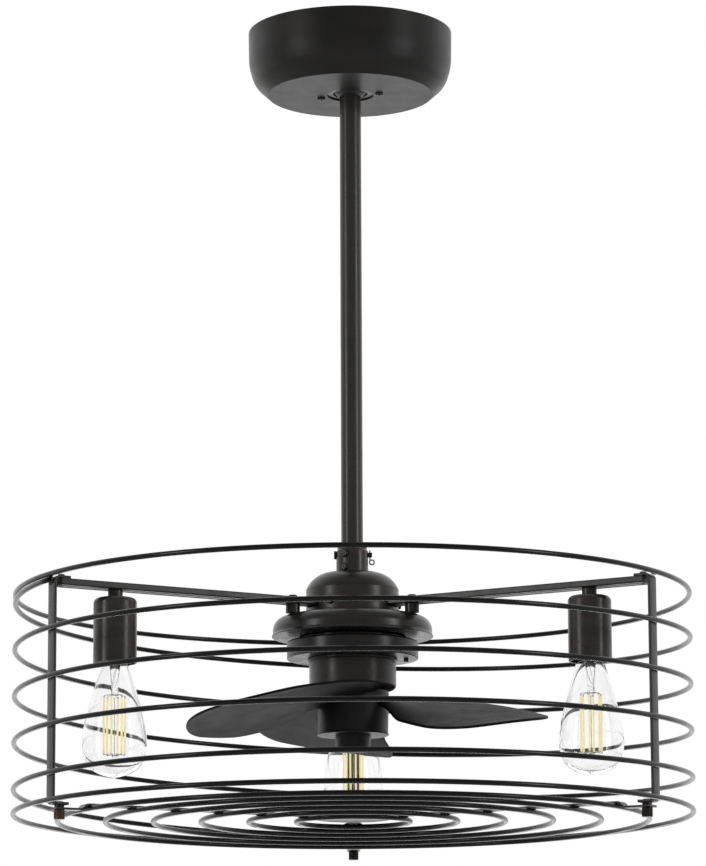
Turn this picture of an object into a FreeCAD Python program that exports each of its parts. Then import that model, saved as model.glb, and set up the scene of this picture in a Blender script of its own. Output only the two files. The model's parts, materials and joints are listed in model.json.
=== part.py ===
import FreeCAD, Part
import math
import os
from FreeCAD import Vector as V

# Ceiling fan with a caged light kit.
# Millimetres, +Z up. Origin: on the fan's vertical axis, in the ceiling plane.
# Front is -Y. Azimuths are degrees counter-clockwise from +X seen from above.

os.makedirs("parts", exist_ok=True)

# ---------------------------------------------------------------- dimensions
# ceiling side
CANOPY_R = 101.5            # outside radius of the canopy at the ceiling
CANOPY_H = 63.0             # canopy depth
CANOPY_T = 1.5              # canopy sheet thickness
CANOPY_FLAT_R = 82.0        # edge of the flat underside
CANOPY_HOLE_R = 23.0        # hole the ball looks through
CANOPY_SCREW_R = 30.0       # pitch radius of the two canopy screws
CANOPY_SCREW_AZ = (164.0, -16.0)
BOX_SPACING = 88.9          # outlet box screw spacing
SLOT_W = 5.4
SLOT_L = 14.0
BALL_Z = -44.0              # ball centre, pivot of the hanger
BALL_R = 23.0
LINER_RI = 23.05
LINER_RO = 24.50
SEAT_R = 24.55
SEAT_RING_R = 37.0

# downrod and coupling
ROD_R = 10.65
ROD_RI = 8.2
ROD_TOP = -30.0
ROD_BOTTOM = -544.0
YOKE_R = 15.6
YOKE_TOP = -517.0
YOKE_BOTTOM = -546.0
CLEVIS_Z = -527.5
SIDE_SCREW_AZ = 242.0

# motor stack
HOUSING_R = 45.25
DOME_BOTTOM = -562.5
HOUSING_BOTTOM = -587.0
PLATE1_R = 77.5
PLATE1_TOP = -589.0
PLATE1_BOTTOM = -608.5
PLATE2_R = 64.0
PLATE2_TOP = -613.0
PLATE2_BOTTOM = -630.0
CAN_R = 42.25
SWITCH_AT = 52.0            # radius of the sliding switch knob
CAN_BOTTOM = -660.0

# rotor
HUB_R = 35.0
HUB_TOP = -661.0
HUB_BOTTOM = -704.5
NOSE_R = 17.3
NOSE_BOTTOM = -720.0
SHAFT_R = 5.0
BLADE_T = 2.6               # blade thickness
BLADE_ROOT_R = 34.0
BLADE_TIP_R = 191.7
BLADE_ROUND_R = 169.9       # the tip starts to round here
BLADE_SPAN = 160.0
BLADE_AZ = 253.8            # azimuth of the first blade's root
BLADE_SWEEP = (-72.8, 42.7)         # degrees, linear and quadratic along the span
BLADE_HALF_CHORD = ((34.0, 36.0), (75.0, 68.5), (115.0, 75.4), (155.0, 74.4), (200.0, 74.4))
BLADE_Z = (-668.5, -44.2, 17.6)      # height of the mid chord along the span
BLADE_PITCH = (12.1, 17.8, -22.0)   # degrees along the span
BLADE_TIP_SKEW = 42.8              # degrees the rounded tip leans to the trailing side
BLADE_EDGE_ROUND = 1.0

# cage
WIRE_R = 2.5
CAGE_R = 327.5
TOP_RING_Z = -570.0
BOTTOM_RING_Z = -781.4
COIL_START_Z = -575.3
COIL_END_Z = -776.2
COIL_START_AZ = 210.0
COIL_TURNS = 13.0 / 3.0
COIL_LEAN = math.tan(math.radians(1.05))
SPOKE_AZ = {"left": 210.0, "right": 330.0, "back": 90.0}

# arms, straps, lamps
ARM_W = 20.0
ARM_TOP = -574.0
ARM_BOTTOM = -580.6
ARM_R0 = 40.0
ARM_R1 = 318.0
BOSS_R = 6.9
BOSS_AT = 66.5
SOCKET_AT = 258.0
CUP_R = 20.5
CUP_TOP = -588.0
CUP_BOTTOM = -650.0
CUP_T = 1.6
HOLDER_R = 18.7
HOLDER_BORE_R = 13.3
BASE_R = 13.0
BULB_TIP = -758.0
BULB_R = 30.5
STRAP_RO = 324.9
STRAP_T = 3.0
STRAP_W = 14.0
STRAP_TOP = -571.0
FOOT_T = 2.0
FOOT_TOP = -783.3
FOOT_LEN = 17.0
STUD_AT = 314.5
STUD_R = 2.5

# grille
GRILLE_RADII = (285.0, 239.0, 193.0, 147.0, 101.0, 55.0)
GRILLE_Z = -787.8
SPOKE_W = 14.0
SPOKE_T = 2.0
SPOKE_TOP = -783.25
TAB_TOP = -788.0
JOGGLE_IN = 287.8
JOGGLE_OUT = 293.5
CENTRE_R = 38.0
NUT_R = 5.1
NUT_TOP = -790.05
NUT_BOTTOM = -799.0


# ---------------------------------------------------------------- helpers
def lathe(points):
    """Solid of revolution about Z. Each point is (r, z) or (r, z, corner radius)."""
    pts = [(p[0], p[1], p[2] if len(p) > 2 else 0.0) for p in points]
    n = len(pts)
    ends = []
    for i, (r, z, rad) in enumerate(pts):
        p = V(r, 0, z)
        if rad <= 0:
            ends.append((p, None, p))
            continue
        a = V(pts[i - 1][0], 0, pts[i - 1][1]) - p
        b = V(pts[(i + 1) % n][0], 0, pts[(i + 1) % n][1]) - p
        a.normalize()
        b.normalize()
        half = a.getAngle(b) / 2.0
        t = rad / math.tan(half)
        c = a + b
        c.normalize()
        mid = p + c * (rad / math.sin(half) - rad)
        ends.append((p + a * t, mid, p + b * t))
    edges = []
    for i, (p0, mid, p1) in enumerate(ends):
        if mid is not None:
            edges.append(Part.Arc(p0, mid, p1).toShape())
        q = ends[(i + 1) % n][0]
        if p1.distanceToPoint(q) > 1e-6:
            edges.append(Part.LineSegment(p1, q).toShape())
    face = Part.Face(Part.Wire(edges))
    return face.revolve(V(0, 0, 0), V(0, 0, 1), 360)


def cyl(r, z0, z1, x=0.0, y=0.0):
    return Part.makeCylinder(r, z1 - z0, V(x, y, z0))


def rod_along(r, length, start, direction):
    return Part.makeCylinder(r, length, start, direction)


def box(x0, x1, y0, y1, z0, z1):
    return Part.makeBox(x1 - x0, y1 - y0, z1 - z0, V(x0, y0, z0))


def turned(shape, az):
    s = shape.copy()
    s.rotate(V(0, 0, 0), V(0, 0, 1), az)
    return s


def moved(shape, x, y, z=0.0):
    s = shape.copy()
    s.translate(V(x, y, z))
    return s


def at(az, r, z=0.0):
    return V(r * math.cos(math.radians(az)), r * math.sin(math.radians(az)), z)


def fuse(shapes):
    s = shapes[0]
    if len(shapes) > 1:
        s = s.fuse(shapes[1:])
    return s.removeSplitter()


def torus(big, small, z):
    return Part.makeTorus(big, small, V(0, 0, z), V(0, 0, 1))


def sphere(r, z):
    return Part.makeSphere(r, V(0, 0, z))


def cross_recess(depth, size, width):
    """Cross recess cutter whose mouth is at z = 0 and which goes down to -depth."""
    a = box(-size, size, -width / 2, width / 2, -depth, 1)
    return a.fuse(box(-width / 2, width / 2, -size, size, -depth, 1))


def pan_screw(head_r, head_h, shank_r, shank_len):
    """Screw along +Z: shank below z = 0, rounded head above, cross recess in the head."""
    head = lathe([(0, 0), (head_r, 0), (head_r, head_h, head_h * 0.7), (0, head_h)])
    s = head.fuse(cyl(shank_r, -shank_len, 0.01)).removeSplitter()
    cut = moved(cross_recess(head_h * 0.55, head_r * 0.55, head_r * 0.22), 0, 0, head_h)
    return s.cut(cut)


def aim(shape, origin, direction):
    """Turn a piece built along +Z so that it points along direction, at origin."""
    s = shape.copy()
    s.Placement = FreeCAD.Placement(origin, FreeCAD.Rotation(V(0, 0, 1), direction))
    return s


def save(name, shape):
    if not shape.isValid():
        print("INVALID", name)
    print("%-24s solids %d  volume %.1f cm3" % (name, len(shape.Solids), shape.Volume / 1000.0))
    shape.exportStep("parts/%s.step" % name)


# ---------------------------------------------------------------- ceiling side
plate = box(-62, 62, -23, 23, -2.5, 0)
vert = [e for e in plate.Edges if abs(e.tangentAt(e.FirstParameter).z) > 0.9]
plate = plate.makeFillet(5.0, vert)
for sx in (-1, 1):
    xc = sx * BOX_SPACING / 2
    half = (SLOT_L - SLOT_W) / 2
    slot = fuse([box(xc - half, xc + half, -SLOT_W / 2, SLOT_W / 2, -4, 2),
                 cyl(SLOT_W / 2, -4, 2, xc - half), cyl(SLOT_W / 2, -4, 2, xc + half)])
    plate = plate.cut(slot)
plate = plate.cut(cyl(11.0, -4, 2))
ring_low = -(CANOPY_H - CANOPY_T)
ring = cyl(SEAT_RING_R, ring_low, -48.0)
legs = [box(sx * 35.5 - 1.5, sx * 35.5 + 1.5, -10, 10, -52, -1) for sx in (-1, 1)]
bracket = fuse([plate, ring] + legs).cut(sphere(SEAT_R, BALL_Z))
bracket = bracket.cut(cyl(17.0, ring_low - 1, BALL_Z))
for az in CANOPY_SCREW_AZ:
    p = at(az, CANOPY_SCREW_R)
    bracket = bracket.cut(cyl(2.05, ring_low - 1, ring_low + 9.0, p.x, p.y))
save("hanger_bracket", bracket)

canopy = lathe([(CANOPY_R, 0), (CANOPY_R - 0.5, -34.0, 50.0), (CANOPY_R - 6.0, -51.0, 24.0),
                (CANOPY_FLAT_R, -CANOPY_H, 1.0), (CANOPY_HOLE_R, -CANOPY_H, 0.5),
                (CANOPY_HOLE_R, -CANOPY_H + CANOPY_T, 0.5), (CANOPY_FLAT_R - 0.6, -CANOPY_H + CANOPY_T, 0.5),
                (CANOPY_R - CANOPY_T - 5.8, -50.0, 22.5), (CANOPY_R - CANOPY_T - 0.5, -34.0, 48.5),
                (CANOPY_R - CANOPY_T, 0)])
screws = []
for az in CANOPY_SCREW_AZ:
    p = at(az, CANOPY_SCREW_R)
    canopy = canopy.cut(cyl(2.4, -CANOPY_H - 1, -CANOPY_H + CANOPY_T + 1, p.x, p.y))
    screws.append(aim(pan_screw(4.0, 2.6, 1.97, 9.5), V(p.x, p.y, -CANOPY_H), V(0, 0, -1)))
save("canopy", canopy)
save("canopy_screws", Part.makeCompound(screws))

receiver = box(-30, 30, -13, 13, -16.5, -2.5)
receiver = receiver.makeFillet(2.0, [e for e in receiver.Edges if abs(e.tangentAt(e.FirstParameter).z) > 0.9])
save("receiver_box", receiver)

# ---------------------------------------------------------------- ball hanger
liner = sphere(LINER_RO, BALL_Z).cut(sphere(LINER_RI, BALL_Z))
liner = liner.common(cyl(40, BALL_Z - 14.5, BALL_Z - 1.0))
save("seat_liner", liner)

ball = sphere(BALL_R, BALL_Z).cut(box(-30, 30, -30, 30, BALL_Z + 16.0, BALL_Z + 40))
ball = ball.cut(cyl(ROD_R + 0.05, -80, 0))
ball = ball.cut(rod_along(3.05, 60, V(-30, 0, BALL_Z), V(1, 0, 0)))
save("hanger_ball", ball)
save("ball_pin", rod_along(3.0, 39, V(-19.5, 0, BALL_Z), V(1, 0, 0)))

rod = cyl(ROD_R, ROD_BOTTOM, ROD_TOP).cut(cyl(ROD_RI, ROD_BOTTOM - 1, ROD_TOP + 1))
rod = rod.cut(rod_along(3.05, 60, V(-30, 0, BALL_Z), V(1, 0, 0)))
rod = rod.cut(rod_along(2.55, 60, V(-30, 0, CLEVIS_Z), V(1, 0, 0)))
side = at(SIDE_SCREW_AZ, 1)
for z in (CLEVIS_Z, -541.0):
    rod = rod.cut(rod_along(2.25, 20, V(0, 0, z), side))
save("downrod", rod)

yoke = lathe([(ROD_R + 0.05, YOKE_BOTTOM), (YOKE_R, YOKE_BOTTOM, 0.6), (YOKE_R, YOKE_TOP - 7.0, 1.2),
              (14.2, YOKE_TOP - 5.5, 1.2), (15.1, YOKE_TOP, 0.8), (ROD_R + 0.05, YOKE_TOP)])
yoke = yoke.cut(rod_along(2.55, 60, V(-30, 0, CLEVIS_Z), V(1, 0, 0)))
yoke_screws = []
for z, hr in ((CLEVIS_Z, 4.0), (-541.0, 3.5)):
    yoke = yoke.cut(rod_along(2.25, 30, V(0, 0, z), side))
    yoke = yoke.cut(rod_along(hr + 0.3, 10, V(0, 0, z) + side * (YOKE_R - 0.8), side))
    yoke_screws.append(aim(pan_screw(hr, 2.4, 2.2, 6.0), V(0, 0, z) + side * (YOKE_R - 0.8), side))
save("yoke_coupling", yoke)
save("yoke_screws", Part.makeCompound(yoke_screws))

pin = rod_along(2.5, 35.0, V(-YOKE_R, 0, CLEVIS_Z), V(1, 0, 0))
pin_head = aim(lathe([(0, 0), (4.2, 0), (4.2, 2.2, 1.0), (0, 2.2)]), V(-YOKE_R - 0.05, 0, CLEVIS_Z), V(-1, 0, 0))
pin = pin.fuse(pin_head).fuse(rod_along(2.5, 0.2, V(-YOKE_R - 0.1, 0, CLEVIS_Z), V(1, 0, 0))).removeSplitter()
pin = pin.cut(cyl(0.85, CLEVIS_Z - 8, CLEVIS_Z + 8, 17.4, 0))
save("clevis_pin", pin)

leg = cyl(0.8, CLEVIS_Z - 6.2, CLEVIS_Z + 4.6, 17.4, 0)
loop = Part.makeTorus(2.3, 0.8, V(19.3, 0, CLEVIS_Z - 7.2), V(0, 1, 0))
save("cotter_pin", leg.fuse(loop).removeSplitter())

# ---------------------------------------------------------------- motor stack
# dome: quarter-round shell with a flat seat for the coupling
DOME_TOP_R = 16.4


def ellipse_arc(r0, r1, z0, z1):
    m = math.sqrt(0.5)
    return Part.Arc(V(r0, 0, z0), V(r0 + (r1 - r0) * m, 0, z1 + (z0 - z1) * m), V(r1, 0, z1)).toShape()


outer_arc = ellipse_arc(DOME_TOP_R, HOUSING_R, YOKE_BOTTOM - 0.02, DOME_BOTTOM)
inner_arc = ellipse_arc(14.0, HOUSING_R - 2.0, YOKE_BOTTOM - 2.0, DOME_BOTTOM)
o0, o1 = V(DOME_TOP_R, 0, YOKE_BOTTOM - 0.02), V(HOUSING_R, 0, DOME_BOTTOM)
i0, i1 = V(14.0, 0, YOKE_BOTTOM - 2.0), V(HOUSING_R - 2.0, 0, DOME_BOTTOM)
h0, h1 = V(8.5, 0, YOKE_BOTTOM - 0.02), V(8.5, 0, YOKE_BOTTOM - 2.0)
dome_wire = Part.Wire([Part.LineSegment(h0, o0).toShape(), outer_arc, Part.LineSegment(o1, i1).toShape(),
                       inner_arc, Part.LineSegment(i0, h1).toShape(), Part.LineSegment(h1, h0).toShape()])
dome = Part.Face(dome_wire).revolve(V(0, 0, 0), V(0, 0, 1), 360)
save("motor_dome", dome)

housing = lathe([(12.0, HOUSING_BOTTOM), (HOUSING_R + 1.6, HOUSING_BOTTOM, 0.5),
                 (HOUSING_R + 1.6, HOUSING_BOTTOM + 1.8, 0.5), (HOUSING_R, HOUSING_BOTTOM + 2.6),
                 (HOUSING_R, DOME_BOTTOM - 0.02, 0.4), (HOUSING_R - 2.0, DOME_BOTTOM - 0.02),
                 (HOUSING_R - 2.0, HOUSING_BOTTOM + 2.5), (12.0, HOUSING_BOTTOM + 2.5)])
slot = box(HOUSING_R - 8, HOUSING_R + 6, -ARM_W / 2 - 0.6, ARM_W / 2 + 0.6, ARM_BOTTOM - 1.0, ARM_TOP + 0.6)
slot = slot.makeFillet(1.5, [e for e in slot.Edges if abs(e.tangentAt(e.FirstParameter).x) > 0.9])
housing_screws = []
for az in SPOKE_AZ.values():
    housing = housing.cut(turned(slot, az))
    d = at(az + 32.0, 1)
    z = -576.8
    housing = housing.cut(rod_along(2.05, 12, V(0, 0, z) + d * (HOUSING_R - 6), d))
    housing_screws.append(aim(pan_screw(4.2, 2.2, 2.0, 6.0), V(0, 0, z) + d * (HOUSING_R + 0.06), d))
save("upper_housing", housing)
save("housing_screws", Part.makeCompound(housing_screws))

# upper plate: cast disc with rounded shoulder, flared lower lip and a pocket below
plate1 = lathe([(8.0, PLATE1_TOP), (PLATE1_R, PLATE1_TOP, 13.0), (PLATE1_R, PLATE1_BOTTOM + 3.0, 1.5),
                (PLATE1_R + 1.5, PLATE1_BOTTOM, 0.6), (52.0, PLATE1_BOTTOM, 0.6),
                (52.0, PLATE1_TOP - 4.0, 2.0), (8.0, PLATE1_TOP - 4.0)])
pedestal = lathe([(12.0, HOUSING_BOTTOM - 0.02), (43.0, HOUSING_BOTTOM - 0.02), (43.0, PLATE1_TOP - 0.5), (12.0, PLATE1_TOP - 0.5)])
plate1 = fuse([plate1, pedestal])
bosses, arm_screws, arms = [], [], {}
for name, az in SPOKE_AZ.items():
    p = at(az, BOSS_AT)
    bosses.append(cyl(BOSS_R, PLATE1_TOP + 0.02, ARM_BOTTOM - 0.02, p.x, p.y).cut(
        cyl(2.6, PLATE1_TOP - 1, ARM_BOTTOM + 1, p.x, p.y)))
    plate1 = plate1.cut(cyl(2.3, PLATE1_TOP - 12, PLATE1_TOP + 1, p.x, p.y))
    arm_screws.append(moved(pan_screw(4.6, 2.6, 2.25, 22.0), p.x, p.y, ARM_TOP + 0.02))
save("upper_plate", plate1)
save("arm_bosses", Part.makeCompound(bosses))

# lower plate: raised neck, flat disc, central seat for the upper bearing
plate2 = lathe([(8.0, PLATE2_TOP + 3.0), (51.5, PLATE2_TOP + 3.0), (51.5, PLATE2_TOP, 0.0), (PLATE2_R, PLATE2_TOP, 2.0),
                (PLATE2_R, PLATE2_BOTTOM, 0.8), (11.05, PLATE2_BOTTOM), (11.05, PLATE2_BOTTOM + 7.05), (8.0, PLATE2_BOTTOM + 7.05)])
knob_slot = box(SWITCH_AT - 2.3, SWITCH_AT + 2.3, -4.8, 4.8, PLATE2_BOTTOM - 1.0, PLATE2_BOTTOM + 3.0)
plate2 = plate2.cut(knob_slot)
save("lower_plate", plate2)

can = lathe([(CAN_R + 1.4, PLATE2_BOTTOM - 0.02, 0.4), (CAN_R + 1.4, PLATE2_BOTTOM - 2.4, 0.6), (CAN_R, PLATE2_BOTTOM - 3.0, 0.3),
             (CAN_R, CAN_BOTTOM, 4.5), (11.05, CAN_BOTTOM), (11.05, CAN_BOTTOM + 8.0), (15.0, CAN_BOTTOM + 8.0),
             (15.0, CAN_BOTTOM + 3.0, 1.0), (CAN_R - 2.5, CAN_BOTTOM + 3.0, 2.5), (CAN_R - 2.5, PLATE2_BOTTOM - 0.02)])
groove = box(29.0, 37.2, -0.9, 0.9, CAN_BOTTOM - 1, CAN_BOTTOM + 1.4)
grooves = Part.makeCompound([turned(groove, k * 360.0 / 40) for k in range(40)])
can = can.cut(grooves)
save("motor_can", can)

def bearing(z0, z1):
    return lathe([(SHAFT_R + 0.04, z0), (11.0, z0, 0.4), (11.0, z1, 0.4), (SHAFT_R + 0.04, z1)])


save("bearings", Part.makeCompound([bearing(PLATE2_BOTTOM + 0.05, PLATE2_BOTTOM + 7.0), bearing(CAN_BOTTOM + 0.5, CAN_BOTTOM + 7.5)]))

core = cyl(39.6, -652.5, -637.5).cut(cyl(23.0, -653, -637))
slots = [turned(box(24.5, 33.0, -1.6, 1.6, -653, -637), k * 20.0) for k in range(18)]
core = core.cut(Part.makeCompound(slots))
save("stator_core", core)
windings = fuse([lathe([(26.0, -637.4), (33.0, -637.4), (33.0, -633.5, 1.5), (26.0, -633.5, 1.5)])])
windings_low = lathe([(26.0, -656.0, 1.2), (33.0, -656.0, 1.2), (33.0, -652.6), (26.0, -652.6)])
save("stator_windings", Part.makeCompound([windings, windings_low]))

# ---------------------------------------------------------------- arms, cups, holders, straps
for name, az in SPOKE_AZ.items():
    arm = box(ARM_R0, ARM_R1, -ARM_W / 2, ARM_W / 2, ARM_BOTTOM, ARM_TOP)
    arm = arm.makeFillet(1.4, [e for e in arm.Edges if abs(e.tangentAt(e.FirstParameter).x) > 0.9])
    # two shallow grooves along the underside
    for y in (-4.5, 4.5):
        arm = arm.cut(box(ARM_R0 - 1, ARM_R1 + 1, y - 1.6, y + 1.6, ARM_BOTTOM - 1, ARM_BOTTOM + 0.9))
    arm = arm.cut(cyl(2.3, ARM_BOTTOM - 1, ARM_TOP + 1, BOSS_AT))
    arm = arm.cut(cyl(5.05, ARM_BOTTOM - 1, ARM_TOP + 1, SOCKET_AT))
    arm = arm.cut(cyl(2.05, ARM_BOTTOM - 1, ARM_TOP + 1, STUD_AT))
    save("arm_" + name, turned(arm, az))

    cup = lathe([(2.8, ARM_TOP - 0.5), (5.0, ARM_TOP - 0.5), (5.0, ARM_BOTTOM - 0.02), (7.0, ARM_BOTTOM - 0.02, 0.5), (7.0, CUP_TOP),
                 (CUP_R, CUP_TOP, 5.0), (CUP_R, CUP_BOTTOM, 0.6), (CUP_R - CUP_T, CUP_BOTTOM, 0.6),
                 (CUP_R - CUP_T, CUP_TOP - CUP_T, 3.6), (2.8, CUP_TOP - CUP_T)])
    p = at(az, SOCKET_AT)
    save("socket_cup_" + name, moved(cup, p.x, p.y))

    holder = lathe([(2.8, -589.65), (15.2, -589.65, 2.0), (HOLDER_R, -600.0, 2.0), (HOLDER_R, -641.0, 1.0),
                    (HOLDER_BORE_R, -641.0, 0.8), (HOLDER_BORE_R, -608.0), (2.8, -608.0)])
    save("lamp_holder_" + name, moved(holder, p.x, p.y))

    strap = box(STRAP_RO - STRAP_T, STRAP_RO, -STRAP_W / 2, STRAP_W / 2, FOOT_TOP - FOOT_T, STRAP_TOP)
    top_foot = box(STRAP_RO - FOOT_LEN, STRAP_RO, -STRAP_W / 2, STRAP_W / 2, ARM_TOP + 0.02, STRAP_TOP)
    low_foot = box(STRAP_RO - FOOT_LEN, STRAP_RO, -STRAP_W / 2, STRAP_W / 2, FOOT_TOP - FOOT_T, FOOT_TOP)
    strap = fuse([strap, top_foot, low_foot])
    corner = [e for e in strap.Edges
              if abs(e.tangentAt(e.FirstParameter).y) > 0.9 and abs(e.CenterOfMass.x - STRAP_RO) < 0.01]
    strap = strap.makeFillet(2.6, corner)
    collar = cyl(4.6, TAB_TOP + 0.02, FOOT_TOP - FOOT_T, STUD_AT)
    stud = cyl(STUD_R, NUT_BOTTOM + 1.6, FOOT_TOP, STUD_AT)
    top_rivet = moved(lathe([(0, -ARM_TOP + ARM_TOP - 5.0), (2.0, -5.0), (2.0, 0), (3.4, 0), (3.4, 1.8, 1.2), (0, 1.8)]), STUD_AT, 0, STRAP_TOP)
    strap = fuse([strap, collar, stud, top_rivet])
    save("strap_" + name, turned(strap, az))
save("arm_screws", Part.makeCompound(arm_screws))

# ---------------------------------------------------------------- cage wires
save("top_ring", torus(CAGE_R, WIRE_R, TOP_RING_Z))
save("bottom_ring", torus(CAGE_R, WIRE_R, BOTTOM_RING_Z))

# one continuous coil, wound clockwise seen from above, leaning a little to the right:
# a chain of circular arcs, each one tangent to the next, so that the wire stays exactly round
start = at(COIL_START_AZ, CAGE_R)
total = 360.0 * COIL_TURNS
end = at(COIL_START_AZ - total, CAGE_R)
drop = COIL_START_Z - COIL_END_Z - COIL_LEAN * (end.x - start.x)
n_arcs = int(COIL_TURNS * 9)
coil_pts = []
for i in range(n_arcs + 1):
    p = at(COIL_START_AZ - total * i / n_arcs, CAGE_R)
    coil_pts.append(V(p.x, p.y, COIL_START_Z - drop * i / n_arcs - COIL_LEAN * (p.x - start.x)))
a0, turn = math.radians(COIL_START_AZ), math.radians(total)
tangent = V(math.sin(a0) * CAGE_R * turn, -math.cos(a0) * CAGE_R * turn, 0)
tangent.z = -drop - COIL_LEAN * tangent.x
tangent.normalize()
lengths = []
for p, q in zip(coil_pts[:-1], coil_pts[1:]):
    chord = q - p
    along_chord = chord * (1.0 / chord.Length)
    axis = tangent.cross(along_chord)
    half_sin = axis.Length
    axis.normalize()
    centre = p + axis.cross(tangent) * (chord.Length / (2 * half_sin))
    disc = Part.Face(Part.Wire([Part.makeCircle(WIRE_R, p, tangent)]))
    lengths.append(disc.revolve(centre, axis, 2 * math.degrees(math.asin(half_sin))))
    tangent = along_chord * (2 * tangent.dot(along_chord)) - tangent
coil = lengths[0].multiFuse(lengths[1:]).Solids[0]
save("cage_coil", coil)

# ---------------------------------------------------------------- grille
save("grille_rings", Part.makeCompound([torus(r, WIRE_R, GRILLE_Z) for r in GRILLE_RADII]))

frame = [cyl(CENTRE_R, SPOKE_TOP - SPOKE_T, SPOKE_TOP)]
for az in SPOKE_AZ.values():
    t = SPOKE_T
    pts = [V(20, 0, SPOKE_TOP), V(JOGGLE_IN, 0, SPOKE_TOP), V(JOGGLE_OUT, 0, TAB_TOP), V(321.0, 0, TAB_TOP),
           V(321.0, 0, TAB_TOP - t), V(JOGGLE_OUT - 0.9, 0, TAB_TOP - t), V(JOGGLE_IN - 0.9, 0, SPOKE_TOP - t), V(20, 0, SPOKE_TOP - t)]
    bar = Part.Face(Part.makePolygon(pts + [pts[0]])).extrude(V(0, SPOKE_W, 0))
    bar = moved(bar, 0, -SPOKE_W / 2)
    frame.append(turned(bar, az))
frame = fuse(frame)
for az in SPOKE_AZ.values():
    p = at(az, STUD_AT)
    frame = frame.cut(cyl(STUD_R + 0.2, TAB_TOP - 4, TAB_TOP + 2, p.x, p.y))
# the wires are let into the spokes' undersides where they are welded
frame = frame.cut(Part.makeCompound([torus(r, WIRE_R + 0.03, GRILLE_Z) for r in GRILLE_RADII]))
save("grille_frame", frame)

nut_len = NUT_TOP - NUT_BOTTOM
knurl = cyl(NUT_R, NUT_BOTTOM, NUT_TOP)
knurl = knurl.makeFillet(0.7, [e for e in knurl.Edges if isinstance(e.Curve, Part.Circle)])
flutes = Part.makeCompound([turned(cyl(0.42, NUT_BOTTOM - 1, NUT_TOP - 1.5, NUT_R + 0.1), k * 15.0) for k in range(24)])
knurl = knurl.cut(flutes).cut(cyl(STUD_R + 0.05, NUT_BOTTOM + 1.0, NUT_TOP + 1))
for name, az in SPOKE_AZ.items():
    p = at(az, STUD_AT)
    save("thumb_nut_" + name, moved(knurl, p.x, p.y))

# ---------------------------------------------------------------- lamps
# teardrop envelope: outline from the neck to the tip, wall 0.9
GLASS_T = 0.9
OUTLINE = ((12.0, -640.5), (13.2, -650.0), (16.2, -662.0), (21.0, -678.0), (26.2, -697.0), (29.6, -714.0),
           (30.5, -726.0), (29.0, -738.0), (24.0, -747.5), (15.5, -753.6), (7.0, -756.4), (2.6, -757.4))


def glass_profile(offset):
    pts = []
    n = len(OUTLINE)
    for i, (r, z) in enumerate(OUTLINE):
        a = OUTLINE[max(0, i - 1)]
        b = OUTLINE[min(n - 1, i + 1)]
        tr, tz = b[0] - a[0], b[1] - a[1]
        length = math.hypot(tr, tz)
        pts.append(V(r + tz / length * offset, 0, z - tr / length * offset))
    return pts


outer_pts = glass_profile(0.0) + [V(0, 0, BULB_TIP)]
inner_pts = glass_profile(GLASS_T)[:-1] + [V(0, 0, BULB_TIP + 1.6)]
co = Part.BSplineCurve()
co.interpolate(outer_pts)
ci = Part.BSplineCurve()
ci.interpolate(inner_pts)
glass_face = Part.Face(Part.Wire([co.toShape(), Part.LineSegment(outer_pts[-1], inner_pts[-1]).toShape(),
                                  ci.toShape(), Part.LineSegment(inner_pts[0], outer_pts[0]).toShape()]))
glass = glass_face.revolve(V(0, 0, 0), V(0, 0, 1), 360)

base_pts = [(0, -608.6), (4.6, -608.6, 0.8), (6.0, -611.2, 0.5), (10.6, -614.6, 0.6)]
z = -616.0
while z > -634.0:
    base_pts += [(BASE_R, z - 0.9, 0.5), (BASE_R - 0.9, z - 2.7, 0.5)]
    z -= 3.6
base_pts += [(BASE_R - 0.4, -640.0, 0.4), (0, -640.0)]
lamp_base = lathe(base_pts).cut(lathe([(0, -641.0), (11.4, -641.0), (11.4, -618.0, 2.0), (6.0, -612.5), (0, -612.5)]))

stem = lathe([(0, -640.05), (9.0, -640.05), (6.0, -650.0, 4.0), (3.6, -664.0, 3.0), (2.4, -676.0, 1.0), (0, -676.0)])
upper_hub = cyl(3.4, -683.0, -675.5)
lower_hub = cyl(3.0, -739.0, -736.0)
posts = [rod_along(0.6, 62.0, V(0, 0, -738.0), V(0, 0, 1))]
leds = []
for k in range(6):
    a = at(k * 60.0 + 15.0, 10.0)
    leds.append(cyl(1.0, -736.5, -681.0, a.x, a.y))
    for zz in (-736.5, -681.0):
        leds.append(rod_along(0.6, 10.0, V(0, 0, zz), V(a.x, a.y, 0)))
filament = fuse([stem, upper_hub, lower_hub] + posts + leds)
for name, az in SPOKE_AZ.items():
    p = at(az, SOCKET_AT)
    save("bulb_base_" + name, moved(lamp_base, p.x, p.y))
    save("bulb_glass_" + name, moved(glass, p.x, p.y))
    save("bulb_filament_" + name, moved(filament, p.x, p.y))

# ---------------------------------------------------------------- rotor
rotor = lathe([(0, -615.0), (SHAFT_R, -615.0, 0.5), (SHAFT_R, -639.0), (22.6, -639.0, 0.4), (22.6, -651.0, 0.4),
               (SHAFT_R, -651.0), (SHAFT_R, -712.0, 0.5), (0, -712.0)])
save("motor_rotor", rotor)

hub = lathe([(SHAFT_R + 0.02, HUB_TOP), (HUB_R, HUB_TOP, 1.5), (HUB_R, HUB_TOP - 10.0), (HUB_R - 0.9, HUB_BOTTOM + 2.0),
             (HUB_R - 0.3, HUB_BOTTOM + 1.6, 0.3), (HUB_R - 0.3, HUB_BOTTOM, 0.6), (SHAFT_R + 0.02, HUB_BOTTOM)])
save("blade_hub", hub)
nose = lathe([(0, HUB_BOTTOM - 0.02), (NOSE_R, HUB_BOTTOM - 0.02, 0.3), (NOSE_R - 0.8, NOSE_BOTTOM, 2.0), (0, NOSE_BOTTOM)])
nose = nose.cut(cyl(SHAFT_R + 0.02, -712.1, HUB_BOTTOM + 1))
save("nose_cap", nose)


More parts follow.
